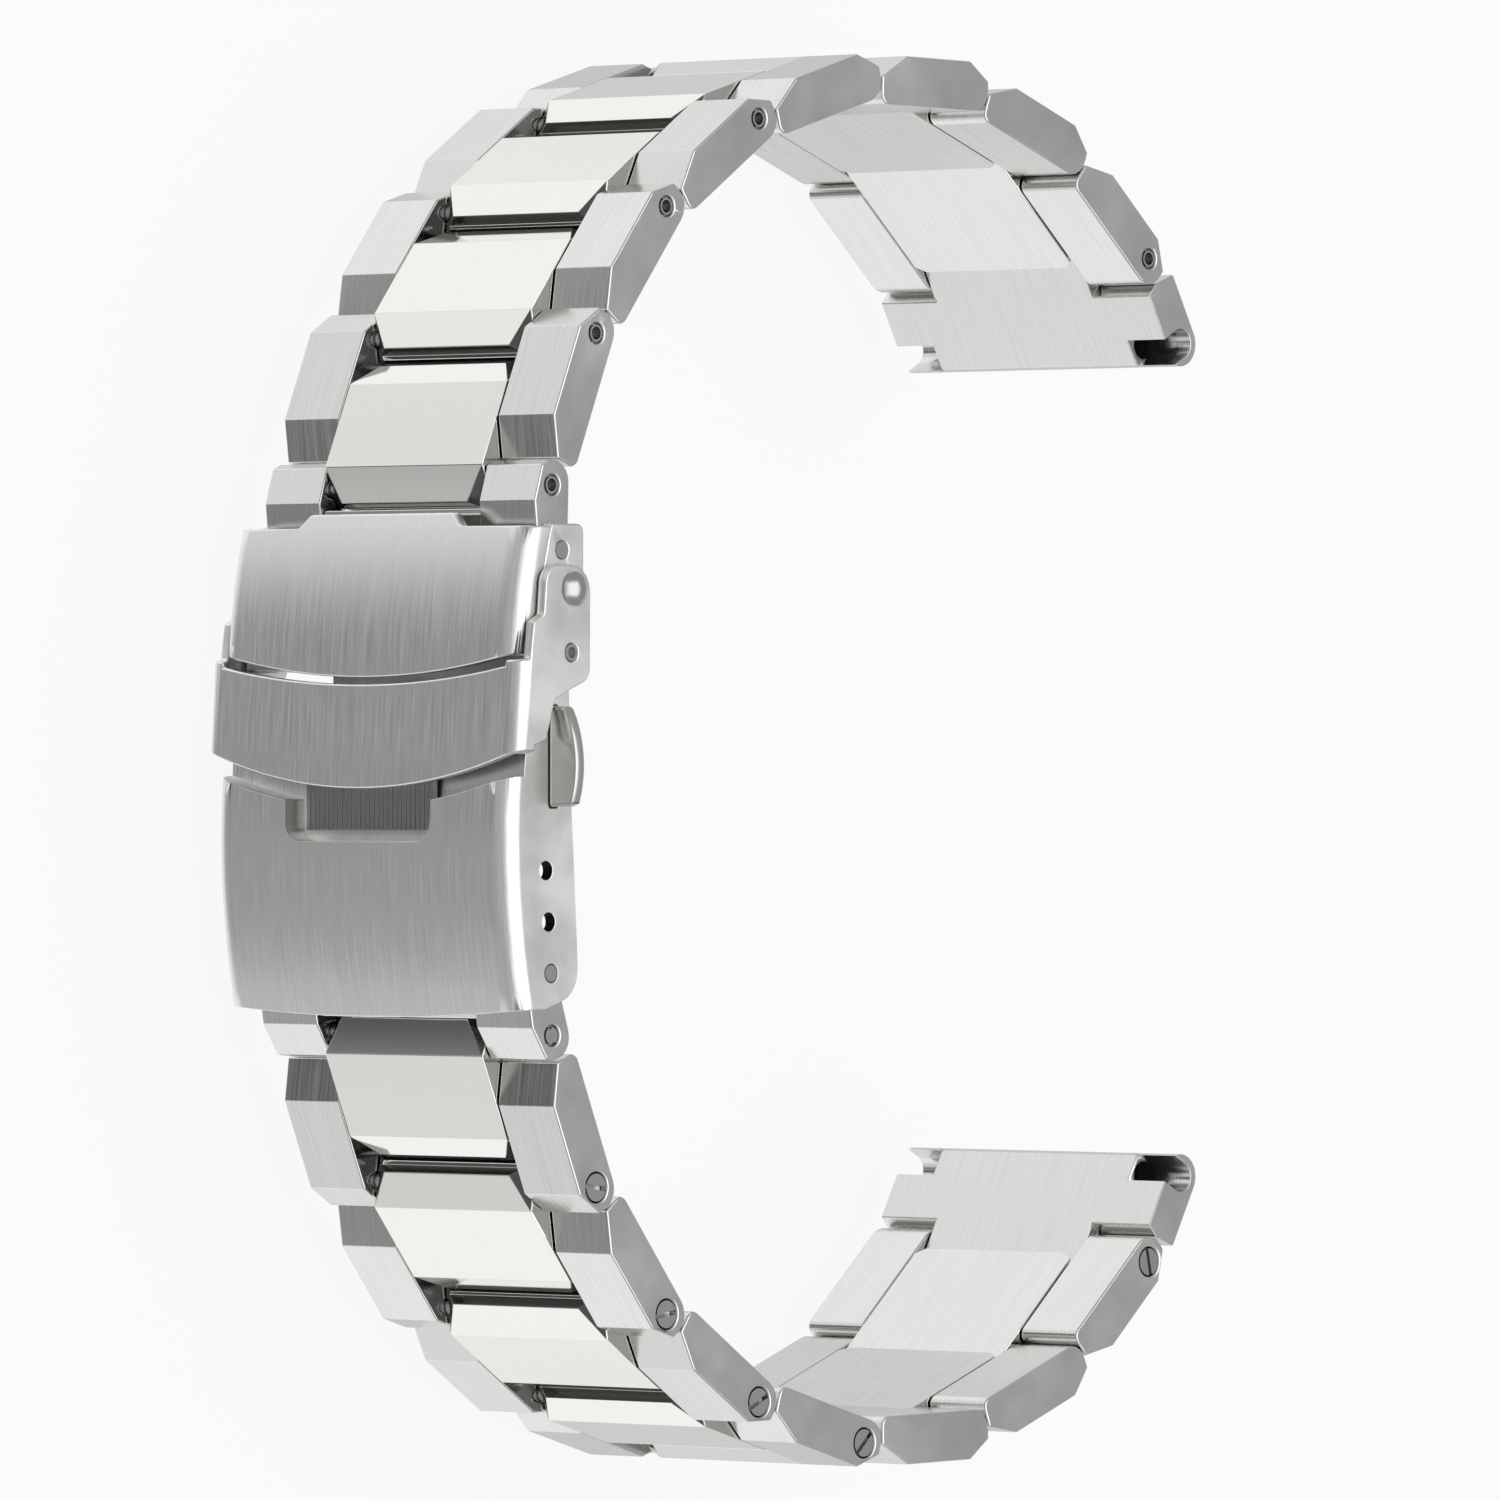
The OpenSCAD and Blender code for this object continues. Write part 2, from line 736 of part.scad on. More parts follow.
module head_link_pin() {
    in_frame() at(upper_pin) color("gainsboro") {
        rod(bar_r, -plate_z1, plate_z1);
        rod(bar_tip_r, -flange_z1 + 0.02, flange_z1 - 0.02);
    }
}

// Top shell on the head, with a raised middle at the strand's end
shell_front = [-13.65, -14.46];
shell_mid_w = 11.6;
shell_back = [-4.85, -6.2];
shell_back_r = (pow(wall_z1, 2) + pow(shell_back[0] - shell_back[1], 2)) / 2 / (shell_back[0] - shell_back[1]);

module shell_area() {
    difference() {
        polygon(rounded([
            [0, -wall_z1 - 1, 0], [shell_front[0], -wall_z1 - 1, 0],
            [shell_front[0], -shell_mid_w / 2 - 0.8, 0.5],
            [shell_front[1], -shell_mid_w / 2, 0.5], [shell_front[1], shell_mid_w / 2, 0.5],
            [shell_front[0], shell_mid_w / 2 + 0.8, 0.5],
            [shell_front[0], wall_z1 + 1, 0], [0, wall_z1 + 1, 0]]));
        difference() {
            translate([-8, -wall_z1 - 2]) square([20, 2 * wall_z1 + 4]);
            translate([shell_back[0] - shell_back_r, 0]) circle(shell_back_r, $fn = 180);
        }
    }
}

module head_shell() {
    in_frame() color("silver") intersection() {
        difference() {
            bent(shell_axis, shell_r, wall_z1, cover_edge_r, 8);
            at(shell_axis) rod(rim_r, -wall_z1 - 1, wall_z1 + 1, $fn = 96);
            at(shell_axis) rod(shell_r - shell_t, -wall_z1 + shell_t, wall_z1 - shell_t, $fn = 96);
        }
        plan(-36, -28) shell_area();
    }
}

// Lock: a band across the cover with an ear at each side
band_tilt = 3.9;
band_face = [-5.7, -33.6];
band_back = [-4.45, -5.7];
band_low = [1.65, -0.55];
ear_root = 0.5;
function arc_r(list) = (pow(ear_z1, 2) + pow(list[0] - list[1], 2)) / 2 / (list[0] - list[1]);
function band_inner(x) = band_face[1] + 0.005 + lock_t / cos(band_tilt) - (x - band_face[0]) * tan(band_tilt);

module band_area() {
    difference() {
        intersection() {
            translate([band_low[0] - arc_r(band_low), 0]) circle(arc_r(band_low), $fn = 180);
            translate([-8, -ear_z1 - 1]) square([12, 2 * ear_z1 + 2]);
        }
        translate([band_back[0] - arc_r(band_back), 0]) circle(arc_r(band_back), $fn = 180);
    }
}

module ear_outline() {
    polygon(rounded([
        [-11.4, -31.25, 1.1], [-11.4, -27.5, 1.6],
        [-4.75, -27.55, 0.9], [-4.1, -29.2, 0.2], [-3.5, -30.55, 0.3], [-2.1, -30.95, 0],
        [-1.15, -31.25, 0.4], [-0.55, -33.2, 0], [-0.55, -35, 0], [-5.7, -35, 0],
        [-5.9, -32.65, 0.2], [-8.05, -32.35, 0.2], [-8.5, -31.5, 0.3]]));
}

module lock_section() {
    difference() {
        union() {
            translate([lock_edge_r, -ear_z1]) square([14, 2 * ear_z1]);
            translate([0, -ear_z1 + lock_edge_r]) square([2, 2 * (ear_z1 - lock_edge_r)]);
            for (side = [-1, 1])
                translate([lock_edge_r, side * (ear_z1 - lock_edge_r)]) circle(lock_edge_r);
        }
        translate([lock_t, -ear_z0]) square([20, 2 * ear_z0]);
    }
}

module flip_lock() {
    in_frame() color("silver") difference() {
        intersection() {
            translate([band_face[0], band_face[1], 0]) rotate([0, 0, -band_tilt])
                translate([-12, 0, 0]) rotate([90, 0, 90]) linear_extrude(24) lock_section();
            union() {
                both_sides() slab(ear_z0 - ear_root, ear_z1 + 1) ear_outline();
                plan(-36, -32.2) band_area();
            }
        }
        at(lock_axis) rod(rivet_r + turn_gap, -strand_w, strand_w);
        at(detent) rod(detent_r + hold_gap, -strand_w, strand_w);
    }
}

detent = [-6.27, -29.15];
detent_r = 0.5;

module detent_pins() {
    in_frame() at(detent) color("gainsboro") both_sides() difference() {
        rod(detent_r, wall_z1 + 0.03, ear_z1);
        rod(detent_r - 0.18, ear_z1 - 0.4, ear_z1 + 1);
    }
}

module lock_rivets() {
    in_frame() at(lock_axis) color("gainsboro") both_sides() {
        rod(rivet_r, flange_z0 - 0.4, ear_z1 + 0.1);
        rod(rivet_head_r - 0.1, flange_z0 - 0.5, flange_z0 - 0.02);
        intersection() {
            rod(rivet_head_r, ear_z1 + 0.03, rivet_z1);
            translate([0, 0, rivet_z1 - 1.4]) sphere(1.4);
        }
    }
}

// Grip tab under the band, its ribs along the strand
tab_w = 10.4;
tab_x = [-2, 4.1];
tab_y = [-32.95, -32.65];
rib_d = 0.1;

module grip_tab() {
    rib_pitch = tab_w / ribs;
    in_frame() color("gray") difference() {
        slab(-tab_w / 2, tab_w / 2) polygon([
            [tab_x[0], band_inner(tab_x[0]) + 0.4], [tab_x[0], band_inner(tab_x[0])],
            [0.6, band_inner(0.6)], [1, tab_y[0]], [tab_x[1], tab_y[0]],
            [tab_x[1], tab_y[1]], [1, tab_y[1]]]);
        for (i = [1:ribs - 1])
            translate([1.1, tab_y[0] - 1, -tab_w / 2 + i * rib_pitch - rib_pitch / 4])
                cube([4, 1 + rib_d, rib_pitch / 2]);
    }
}

// Buttons: a thin disc with a domed rim outside the wall, a latch inside it
back_z0 = wall_z0 - 0.6;
back_z1 = wall_z0 - 0.05;
pocket_x = 1.7;
dome_x = 0.3;
dome_corner_r = 0.9;

// Rim of a button in x and z
module dome_outline() {
    intersection() {
        translate([dome_x, face_z1 - dome_r]) circle(dome_r, $fn = 96);
        polygon(rounded([
            [button_x[0], 0, 0], [button_x[1], 0, 0],
            [button_x[1], face_z1, dome_corner_r], [button_x[0], face_z1, dome_corner_r]]));
    }
}

module button() {
    difference() {
        union() {
            intersection() {
                slab(back_z0, face_z1 + 1) button_outline(0);
                plan(button_foot - button_t - 1, button_foot + 1) dome_outline();
            }
            slab(back_z0, back_z1) intersection() {
                translate([-3.8, shank_y[0]]) square([7.2, 2]);
                at(deck_axis) circle(floor_r - side_gap, $fn = 96);
            }
        }
        translate([-pocket_x, shank_y[1], back_z0 - 1])
            cube([2 * pocket_x, 5, wall_z0 + 0.25 - back_z0 + 1]);
    }
    slab(latch_z0, back_z1) translate([-1.2, shank_y[0]]) square([2.4, shank_y[1] - shank_y[0]]);
    slab(latch_z0, latch_z1) translate([-1.2, shank_y[0]]) square([2.4, latch_foot - shank_y[0]]);
    slab(latch_z1 - 0.1, lip_z) translate([-1.2, hook_y + 0.15]) square([2.4, latch_foot - hook_y - 0.15]);
}

module left_button() {
    in_frame() color("silver") button();
}

module right_button() {
    in_frame() color("silver") mirror([0, 0, 1]) button();
}

// Coil springs behind the latches, swept along a helix
spring_at = [0, -30.25];
coil_sides = 6;
coil_steps = 12;

function coil_ring(a, rise, z0) = [for (s = [0:coil_sides - 1]) let(
    b = 360 * s / coil_sides,
    r = spring_r - wire_d / 2 + wire_d / 2 * cos(b))
    [r * cos(a), r * sin(a), z0 + rise * a / 360 + wire_d / 2 * sin(b)]];

module coil(z0, z1) {
    rise = (z1 - z0 - wire_d) / coils;
    steps = coils * coil_steps;
    points = [for (i = [0:steps]) each coil_ring(360 * i / coil_steps, rise, z0 + wire_d / 2)];
    sides = [for (i = [0:steps - 1]) for (s = [0:coil_sides - 1]) let(
        a = i * coil_sides + s,
        b = i * coil_sides + (s + 1) % coil_sides)
        [a, b, b + coil_sides, a + coil_sides]];
    first = [for (s = [coil_sides - 1:-1:0]) s];
    last = [for (s = [0:coil_sides - 1]) steps * coil_sides + s];
    polyhedron(points, concat(sides, [first, last]), convexity = 6);
}

module left_button_spring() {
    in_frame() at(spring_at) color("gray") coil(seat_z + 0.02, latch_z0 - 0.02);
}

module right_button_spring() {
    in_frame() at(spring_at) color("gray") mirror([0, 0, 1]) coil(seat_z + 0.02, latch_z0 - 0.02);
}

for (s = strands) for (k = [1:link_count()]) {
    link_sides(s, k);
    link_centre(s, k);
}
for (s = strands) {
    short_link_sides(s);
    short_link_centre(s);
    short_link_pin(s);
    end_link(s);
}
for (k = lower_screws)
    link_screw(k);
for (k = upper_push_pins)
    link_push_pin(k);
clasp_cover();
spring_bar();
middle_blade();
skin_blade();
head_shell();
fold_hinge_pins();
head_link_pin();
flip_lock();
lock_rivets();
detent_pins();
grip_tab();
left_button();
right_button();
left_button_spring();
right_button_spring();
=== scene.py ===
"""Metal watch bracelet with a folding clasp: its finishes, its light and its camera."""
import json
import math

import bpy
from mathutils import Matrix, Vector

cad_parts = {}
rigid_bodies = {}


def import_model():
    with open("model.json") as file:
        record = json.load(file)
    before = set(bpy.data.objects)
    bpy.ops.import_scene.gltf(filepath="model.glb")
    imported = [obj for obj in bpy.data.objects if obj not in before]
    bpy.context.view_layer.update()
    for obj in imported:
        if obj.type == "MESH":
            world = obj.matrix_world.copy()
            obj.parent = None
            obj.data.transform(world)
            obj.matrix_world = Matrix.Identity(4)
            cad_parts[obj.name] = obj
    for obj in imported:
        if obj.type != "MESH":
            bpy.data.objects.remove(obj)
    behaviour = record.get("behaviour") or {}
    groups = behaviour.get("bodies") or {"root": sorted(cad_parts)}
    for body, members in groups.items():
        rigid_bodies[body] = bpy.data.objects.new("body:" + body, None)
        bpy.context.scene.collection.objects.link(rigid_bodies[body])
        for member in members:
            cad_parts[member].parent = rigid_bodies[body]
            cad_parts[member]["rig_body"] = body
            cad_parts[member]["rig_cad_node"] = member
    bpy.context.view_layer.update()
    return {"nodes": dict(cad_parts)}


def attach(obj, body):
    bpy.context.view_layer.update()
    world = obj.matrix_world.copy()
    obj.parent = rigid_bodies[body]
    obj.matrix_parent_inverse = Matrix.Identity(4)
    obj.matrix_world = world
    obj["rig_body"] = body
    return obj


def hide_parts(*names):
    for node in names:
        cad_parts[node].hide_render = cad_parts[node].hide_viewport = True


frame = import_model()
scene = bpy.context.scene
MM = 0.001

# Camera
# It looks down at the bracelet's side faces from 0.85 m, with the clasp to the left of
# the picture, so the picture's right is across the strand and its top is the upper strand.
CAMERA_FAR = 850 * MM
CAMERA_DOWN = math.radians(42.5)
CLIP_START, CLIP_END = 0.05, 20
PICTURE = 1500
PIXELS_PER_MM = 16.58
SENSOR = 36
WRIST_Y = 2.834 * MM
LOOK_AT = Vector((0, WRIST_Y, 14 * MM))
LOOK_AT_ROW = 760.3

camera_data = bpy.data.cameras.new("camera")
camera = bpy.data.objects.new("camera", camera_data)
scene.collection.objects.link(camera)
scene.camera = camera
camera_data.sensor_width = SENSOR
camera_data.lens = PIXELS_PER_MM * CAMERA_FAR / MM / PICTURE * SENSOR
camera_data.shift_y = (LOOK_AT_ROW - PICTURE / 2) / PICTURE
camera_data.clip_start = CLIP_START
camera_data.clip_end = CLIP_END
picture_right = Vector((0, math.sin(CAMERA_DOWN), math.cos(CAMERA_DOWN)))
picture_up = Vector((-1, 0, 0))
towards_camera = Vector((0, -math.cos(CAMERA_DOWN), math.sin(CAMERA_DOWN)))
turn = Matrix((picture_right, picture_up, towards_camera)).transposed().to_4x4()
camera.matrix_world = Matrix.Translation(LOOK_AT + towards_camera * CAMERA_FAR) @ turn

# Surroundings
# An even sky, and below the horizon white screens, which show only where the metal
# reflects them. Ahead of the clasp they leave dark gaps, a wider one towards the upper
# strand, and behind the bracelet they are a little greyer.
SKY = 0.37
SCREEN_WHITE = 0.96
SCREEN_BEHIND = 0.66
# Where the screens turn grey, as the y part of a direction
BEHIND_FROM, BEHIND_TO = 0.2, 0.6
# The height to either side of the horizon over which the screens give way to the sky
HORIZON = 0.06
# Degrees from straight ahead, towards the lower strand, and the screens' tone there
SCREEN_TONES = (
    (-62, "#ffffff"), (-46, "#e6e6e6"), (-27, "#f6f6f6"), (-21, "#a8a8a8"), (-17, "#585858"),
    (-13, "#484848"), (-9, "#707070"), (-6, "#5c5c5c"), (-3, "#4c4c4c"), (0, "#a8a8a8"),
    (4, "#c4c4c4"), (6, "#b4b4b4"), (10, "#848484"), (13, "#484848"), (17, "#585858"),
    (21, "#a8a8a8"), (27, "#d8d8d8"), (46, "#dedede"), (62, "#ffffff"))
WIDEST = math.tan(math.radians(SCREEN_TONES[-1][0]))
NEARLY_NOTHING = 0.001
PLAIN_WHITE = (1, 1, 1, 1)
scene.view_settings.view_transform = "Standard"


def linear(hex_colour):
    """An sRGB hex value as a linear colour."""
    parts = [int(hex_colour[i:i + 2], 16) / 255 for i in (1, 3, 5)]
    return [p / 12.92 if p <= 0.04045 else ((p + 0.055) / 1.055) ** 2.4 for p in parts] + [1]


def add_node(tree, kind, settings=None, inputs=None):
    """A node with its settings, and its sockets set to a value or linked to another node's."""
    made = tree.nodes.new(kind)
    for name, value in (settings or {}).items():
        setattr(made, name, value)
    for socket, value in (inputs or {}).items():
        if isinstance(value, bpy.types.NodeSocket):
            tree.links.new(value, made.inputs[socket])
        else:
            made.inputs[socket].default_value = value
    return made


world = bpy.data.worlds.new("studio")
world.use_nodes = True
world.node_tree.nodes.clear()
tree = world.node_tree
direction = add_node(tree, "ShaderNodeTexCoord")
parts = add_node(tree, "ShaderNodeSeparateXYZ", inputs={"Vector": direction.outputs["Generated"]})
ahead = add_node(tree, "ShaderNodeMath", {"operation": "MULTIPLY"}, {
    0: parts.outputs["Y"], 1: -1.0})
ahead = add_node(tree, "ShaderNodeMath", {"operation": "MAXIMUM"}, {
    0: ahead.outputs[0], 1: NEARLY_NOTHING})
aside = add_node(tree, "ShaderNodeMath", {"operation": "DIVIDE"}, {
    0: parts.outputs["X"], 1: ahead.outputs[0]})
aside = add_node(tree, "ShaderNodeMapRange", inputs={
    "Value": aside.outputs[0], "From Min": -WIDEST, "From Max": WIDEST})
tones = add_node(tree, "ShaderNodeValToRGB", inputs={"Fac": aside.outputs["Result"]})
while len(tones.color_ramp.elements) < len(SCREEN_TONES):
    tones.color_ramp.elements.new(0.5)
for element, (angle, tone) in zip(tones.color_ramp.elements, SCREEN_TONES):
    element.position = (math.tan(math.radians(angle)) / WIDEST + 1) / 2
    element.color = linear(tone)
level = add_node(tree, "ShaderNodeMapRange", inputs={
    "Value": parts.outputs["Y"], "From Min": BEHIND_FROM, "From Max": BEHIND_TO,
    "To Min": SCREEN_WHITE, "To Max": SCREEN_WHITE * SCREEN_BEHIND})
screens = add_node(tree, "ShaderNodeBackground", inputs={
    "Color": tones.outputs["Color"], "Strength": level.outputs["Result"]})
sky = add_node(tree, "ShaderNodeBackground", inputs={"Color": PLAIN_WHITE, "Strength": SKY})
path = add_node(tree, "ShaderNodeLightPath")
mirrored = add_node(tree, "ShaderNodeMath", {"operation": "MAXIMUM"}, {
    0: path.outputs["Is Glossy Ray"], 1: path.outputs["Is Transmission Ray"]})
below = add_node(tree, "ShaderNodeMapRange", inputs={
    "Value": parts.outputs["Z"], "From Min": HORIZON, "From Max": -HORIZON,
    "To Min": 0.0, "To Max": 1.0})
below = add_node(tree, "ShaderNodeMath", {"operation": "MULTIPLY"}, {
    0: below.outputs["Result"], 1: mirrored.outputs[0]})
surroundings = add_node(tree, "ShaderNodeMixShader", inputs={
    0: below.outputs[0], 1: sky.outputs[0], 2: screens.outputs[0]})
add_node(tree, "ShaderNodeOutputWorld", inputs={"Surface": surroundings.outputs[0]})
scene.world = world

# Floor
# A wide sheet of matt white paper. What the camera sees of it is mostly plain white, and
# the rest takes the shadow. The metal reflects the screens in its place.
FLOOR_SIZE = 3
FLOOR_WHITE = 0.88


def new_material(name):
    """An empty material with its output, as (material, node tree, output)."""
    material = bpy.data.materials.new(name)
    material.use_nodes = True
    material.node_tree.nodes.clear()
    return material, material.node_tree, material.node_tree.nodes.new("ShaderNodeOutputMaterial")


white_paper, tree, out = new_material("white_paper")
paper = add_node(tree, "ShaderNodeBsdfDiffuse", inputs={"Color": linear("#f6f6f6")})
white = add_node(tree, "ShaderNodeEmission", inputs={"Color": PLAIN_WHITE, "Strength": 1.0})
path = add_node(tree, "ShaderNodeLightPath")
seen = add_node(tree, "ShaderNodeMath", {"operation": "MAXIMUM"}, {
    0: path.outputs["Is Camera Ray"], 1: path.outputs["Is Glossy Ray"]})
seen = add_node(tree, "ShaderNodeMath", {"operation": "MAXIMUM"}, {
    0: seen.outputs[0], 1: path.outputs["Is Transmission Ray"]})
part_white = add_node(tree, "ShaderNodeMath", {"operation": "MULTIPLY"}, {
    0: seen.outputs[0], 1: FLOOR_WHITE})
mixed = add_node(tree, "ShaderNodeMixShader", inputs={
    0: part_white.outputs[0], 1: paper.outputs[0], 2: white.outputs[0]})
tree.links.new(mixed.outputs[0], out.inputs["Surface"])

bpy.ops.mesh.primitive_grid_add(x_subdivisions=2, y_subdivisions=2, size=FLOOR_SIZE)
floor = bpy.context.active_object
floor.name = "floor"
floor.data.materials.append(white_paper)
floor.visible_glossy = False

# Lamp
# One wide soft lamp that hangs over the bracelet and faces it.
LAMP_PLACE = LOOK_AT + Vector((0, 0.02, 0.95))
LAMP_SIZE = 1.15
LAMP_POWER = 5.0

lamp_data = bpy.data.lights.new("lamp_overhead", "AREA")
lamp_data.size = LAMP_SIZE
lamp_data.energy = LAMP_POWER
lamp = bpy.data.objects.new("lamp_overhead", lamp_data)
scene.collection.objects.link(lamp)
lamp.location = LAMP_PLACE
lamp.rotation_mode = "QUATERNION"
lamp.rotation_quaternion = (LOOK_AT - LAMP_PLACE).to_track_quat("-Z", "Y")

# Side plates of the links and end links
# Solid stainless steel, milled to shape, then brushed along the strand with a belt, and
# every edge is just broken. Two plates are pressed on pins at the sides of each centre.
EDGE = 0.13 * MM
END_LINK_EDGE = 0.06 * MM
EDGE_STEPS = 2
# Degrees from which an edge is broken, up to which faces shade as one, and up to which
# the loose triangles of a flat face are joined
SHARP = 35
SMOOTH = 42
FLAT = 1
SAME_POINT = 0.002 * MM
# How far large faces set the shading of the narrow ones beside them, up to 100
FLAT_FACES_LEAD = 100
# The brushed lines: their spacing and their length
LINE_ACROSS = 0.10 * MM
LINE_ALONG = 7.0 * MM
LINE_HEIGHT = 0.003 * MM
LINE_DETAIL = 3.0
LINE_GRAIN = 0.65
LINE_RANGE = (0.3, 0.7)
ROUGH_SPREAD = 0.06


def brushed_steel(name, colour, along, roughness, contrast, height=LINE_HEIGHT):
    """Brushed stainless steel: fine lines of the length along that vary in tone and gloss.

    Real lines lie a few hundredths of a millimetre apart, too fine to show, so they are
    drawn coarser here.
    """
    material, tree, out = new_material(name)
    place = add_node(tree, "ShaderNodeTexCoord")
    stretched = add_node(tree, "ShaderNodeMapping", {"vector_type": "POINT"}, {
        "Vector": place.outputs["Object"], "Scale": (1 / along, 1 / along, 1 / LINE_ACROSS)})
    lines = add_node(tree, "ShaderNodeTexNoise", {"noise_dimensions": "3D"}, {
        "Vector": stretched.outputs["Vector"], "Scale": 1.0,
        "Detail": LINE_DETAIL, "Roughness": LINE_GRAIN})
    low = [c * (1 - contrast) for c in linear(colour)[:3]]
    high = [c * (1 + contrast) for c in linear(colour)[:3]]
    tint = add_node(tree, "ShaderNodeMapRange", {"data_type": "FLOAT_VECTOR"}, {
        "Vector": lines.outputs["Fac"], "From Min": (LINE_RANGE[0],) * 3,
        "From Max": (LINE_RANGE[1],) * 3, "To Min": low, "To Max": high})
    rough = add_node(tree, "ShaderNodeMapRange", inputs={
        "Value": lines.outputs["Fac"], "From Min": LINE_RANGE[0], "From Max": LINE_RANGE[1],
        "To Min": roughness - ROUGH_SPREAD, "To Max": roughness + ROUGH_SPREAD})
    raised = add_node(tree, "ShaderNodeBump", inputs={
        "Height": lines.outputs["Fac"], "Strength": 1.0, "Distance": height})
    steel = add_node(tree, "ShaderNodeBsdfPrincipled", inputs={
        "Base Color": tint.outputs["Vector"], "Metallic": 1.0,
        "Roughness": rough.outputs["Result"], "Normal": raised.outputs["Normal"]})
    tree.links.new(steel.outputs[0], out.inputs["Surface"])
    return material


def finished_copy(name, edge, material, sharp=SHARP, smooth=SMOOTH):
    """A copy of a CAD node with its edges broken, which then stands for the node."""
    bpy.ops.object.select_all(action="DESELECT")
    node = frame["nodes"][name]
    piece = node.copy()
    piece.data = node.data.copy()
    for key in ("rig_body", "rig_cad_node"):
        if key in piece:
            del piece[key]
    piece.parent = None
    piece.name = name + "_finished"
    scene.collection.objects.link(piece)
    piece.select_set(True)
    bpy.context.view_layer.objects.active = piece
    bpy.ops.object.mode_set(mode="EDIT")
    bpy.ops.mesh.select_all(action="SELECT")
    bpy.ops.mesh.remove_doubles(threshold=SAME_POINT)
    bpy.ops.mesh.dissolve_limited(angle_limit=math.radians(FLAT))
    bpy.ops.object.mode_set(mode="OBJECT")
    bevel = piece.modifiers.new("edges", "BEVEL")
    bevel.width = edge
    bevel.segments = EDGE_STEPS
    bevel.limit_method = "ANGLE"
    bevel.angle_limit = math.radians(sharp)
    bevel.use_clamp_overlap = False
    bevel.loop_slide = False
    bpy.ops.object.modifier_apply(modifier="edges")
    bpy.ops.object.shade_smooth_by_angle(angle=math.radians(smooth))
    weights = piece.modifiers.new("weights", "WEIGHTED_NORMAL")
    weights.weight = FLAT_FACES_LEAD
    weights.keep_sharp = True
    bpy.ops.object.modifier_apply(modifier="weights")
    piece.data.materials.clear()
    piece.data.materials.append(material)
    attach(piece, node["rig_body"])
    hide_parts(name)
    return piece


# Stainless steel with a fine belt finish: pale, with a soft sheen along the strand
satin = brushed_steel(
    "brushed_stainless_steel", "#e8e8e6", LINE_ALONG, roughness=0.22, contrast=0.07)
for name in sorted(frame["nodes"]):
    if name.endswith("_sides"):
        finished_copy(name, EDGE, satin)
    if name.endswith("end_link"):
        finished_copy(name, END_LINK_EDGE, satin)

# Centres of the links
# Solid stainless steel, each on a pin between its side plates. The outer face and the
# bevels at its ends are polished, the groove between two centres takes a darker grey steel
# that is painted shade of the recess, and the face on the wrist is brushed like the plates.
CENTRE_EDGE = 0.06 * MM
CENTRE_SHARP = 18
CENTRE_SMOOTH = 21.6
GROOVE_DEPTH = (0.4 * MM, 3 * MM)
# How far a face is turned, as the cosine of its angle to a direction
TOWARDS_WRIST = -0.6
AWAY_FROM_WRIST = 0.7
TILTED = 0.72
LITTLE_TO_THE_SIDE = 0.1
NOT_A_SIDE = 0.6
# Which of a centre's materials a face takes
POLISHED, BRUSHED, GROOVE_PAINTED_SHADE = 0, 1, 2
WAVE_LENGTH = 5.5556 * MM
WAVE_HEIGHT = 0.004 * MM
WAVE_STRENGTH = 0.5


def polished_steel(name, colour, roughness):
    """Polished steel: a clear reflection with the trace of waviness that buffing leaves."""
    material, tree, out = new_material(name)
    place = add_node(tree, "ShaderNodeTexCoord")
    wave = add_node(tree, "ShaderNodeTexNoise", inputs={
        "Vector": place.outputs["Object"], "Scale": 1 / WAVE_LENGTH, "Detail": 1.0})
    raised = add_node(tree, "ShaderNodeBump", inputs={
        "Height": wave.outputs["Fac"], "Strength": WAVE_STRENGTH, "Distance": WAVE_HEIGHT})
    steel = add_node(tree, "ShaderNodeBsdfPrincipled", inputs={
        "Base Color": linear(colour), "Metallic": 1.0, "Roughness": roughness,
        "Normal": raised.outputs["Normal"]})
    tree.links.new(steel.outputs[0], out.inputs["Surface"])
    return material


# Buffed to a mirror: it shows the screens almost sharp
mirror = polished_steel("mirror_polished_steel", "#f6f5f2", roughness=0.07)
# Painted shade for the groove between two centres: a darker grey steel with a blurred reflection
groove_shade_steel = polished_steel("groove_painted_shade_steel", "#7c7c7a", roughness=0.24)
for name in sorted(frame["nodes"]):
    if not name.endswith("_centre"):
        continue
    centre = finished_copy(name, CENTRE_EDGE, mirror,
                           CENTRE_SHARP, CENTRE_SMOOTH)
    centre.data.materials.append(satin)
    centre.data.materials.append(groove_shade_steel)
    outward = []
    for face in centre.data.polygons:
        from_wrist = Vector((face.center.x, face.center.y - WRIST_Y, 0)).normalized()
        facing = face.normal.dot(from_wrist)
        if facing < TOWARDS_WRIST:
            face.material_index = BRUSHED
        elif facing > AWAY_FROM_WRIST and abs(face.normal.z) < LITTLE_TO_THE_SIDE:
            outward.append(face)
    main = max(outward, key=lambda face: face.area)
    # Faces in the groove between two centres take the darker grey steel: painted shade in the
    # recess
    for face in centre.data.polygons:
        depth = (main.center - face.center).dot(main.normal)
        if (face.material_index == POLISHED and abs(face.normal.z) < NOT_A_SIDE
                and face.normal.dot(main.normal) < TILTED
                and GROOVE_DEPTH[0] < depth < GROOVE_DEPTH[1]):
            face.material_index = GROOVE_PAINTED_SHADE

# Clasp cover
# Stainless steel sheet, pressed into a box and brushed along the strand a little more
# coarsely than the links. Each wall has three drilled holes for the spring bar.
COVER_EDGE = 0.05 * MM
COVER_SMOOTH = 25
SHEET_LINE_ALONG = 4.5 * MM
BAR = Vector((12.397, -27.263)) * MM
HOLE_STEP = Vector((-2.991, -0.225)) * MM
HOLES = 3
HOLE_R = 0.57 * MM
BORE_TILT = 0.5
BORE_PAINTED_SHADE = 1

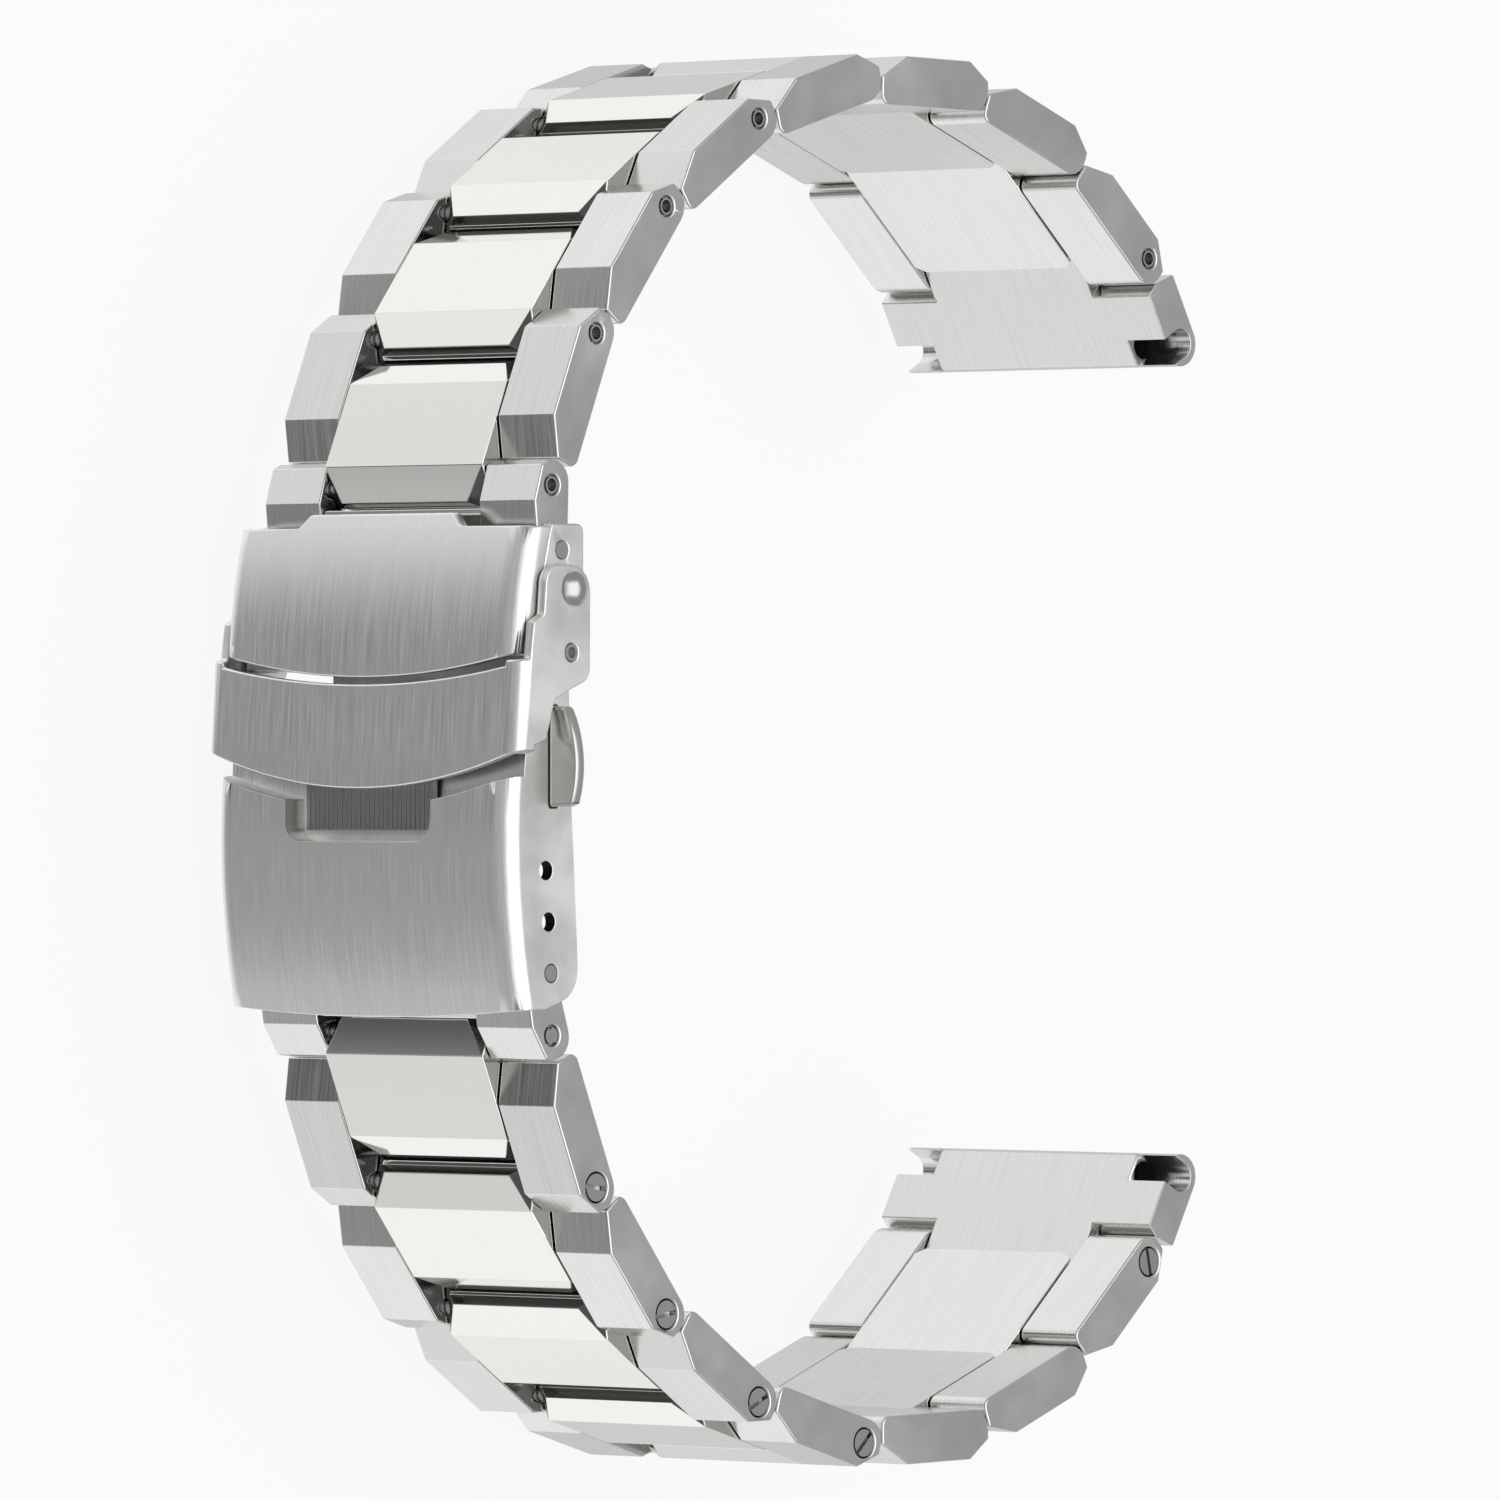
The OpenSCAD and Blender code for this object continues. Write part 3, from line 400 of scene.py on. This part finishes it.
# Pressed sheet with short brushed strokes: greyer and duller than the links
sheet = brushed_steel(
    "brushed_sheet_steel", "#f8f8f6", SHEET_LINE_ALONG, roughness=0.37, contrast=0.08)
# Near-black steel on the bores' walls: painted shade inside the holes, between their bright rims
bore_shade_steel = polished_steel("bore_painted_shade_steel", "#3c3c3c", roughness=0.5)
cover = finished_copy("clasp_cover", COVER_EDGE, sheet, smooth=COVER_SMOOTH)
cover.data.materials.append(bore_shade_steel)
# The walls of the spring bar's holes take the near-black steel: painted shade inside the bores
for face in cover.data.polygons:
    for i in range(HOLES):
        from_hole = (face.center.xy - BAR - i * HOLE_STEP).length
        if abs(face.normal.z) < BORE_TILT and from_hole < HOLE_R:
            face.material_index = BORE_PAINTED_SHADE

# Head shell, flip-lock and fold blades
# The shell and the lock are the same brushed sheet, the shell fixed over the head and the
# lock on its two rivets. The blades are solid steel with the same finish.
for name in ("head_shell", "flip_lock", "skin_blade", "middle_blade"):
    finished_copy(name, EDGE, sheet)

# Grip tab
# A small steel block under the lock's band, with ribs cut across it for the fingernail.
TAB_EDGE = 0.03 * MM
TAB_LINE_HEIGHT = 0.001 * MM

# Cut and lightly brushed steel: darker than the sheet round it, so that its ribs show
tab_steel = brushed_steel(
    "ribbed_tab_steel", "#a6a6a4", SHEET_LINE_ALONG, roughness=0.30, contrast=0.05,
    height=TAB_LINE_HEIGHT)
finished_copy("grip_tab", TAB_EDGE, tab_steel)

# Push buttons
# Solid steel discs with a domed rim, turned and polished, each in a slot of a wall.
BUTTON_EDGE = 0.08 * MM

# Polished less finely than the centres: a softer, slightly grey reflection
button_steel = polished_steel("polished_button_steel", "#d8d8d5", roughness=0.22)
for name in ("left_button", "right_button"):
    finished_copy(name, BUTTON_EDGE, button_steel)

# Pins, screws, rivets and the spring bar
# Turned steel, pressed, riveted or screwed into the plates and the clasp's walls, where
# only their ends show.
SPRINGS = ("left_button_spring", "right_button_spring")

# Turned and lightly polished: satin grey, a shade darker than the plates round it
turned = polished_steel("turned_steel", "#c8c8c6", roughness=0.25)
for name in sorted(frame["nodes"]):
    if name.endswith(("_sides", "_centre")) or name in SPRINGS:
        continue
    if "pin" in name or "screw" in name or "rivet" in name or name == "spring_bar":
        for slot in frame["nodes"][name].material_slots:
            slot.material = turned

# Button springs
# Coils of drawn spring wire. They lie hidden behind the buttons and push them out, and
# keep the solids' own shape.

# Drawn wire: darker and duller than the polished pieces
wire = polished_steel("drawn_spring_wire", "#8f8f92", roughness=0.35)
for name in SPRINGS:
    for slot in frame["nodes"][name].material_slots:
        slot.material = wire
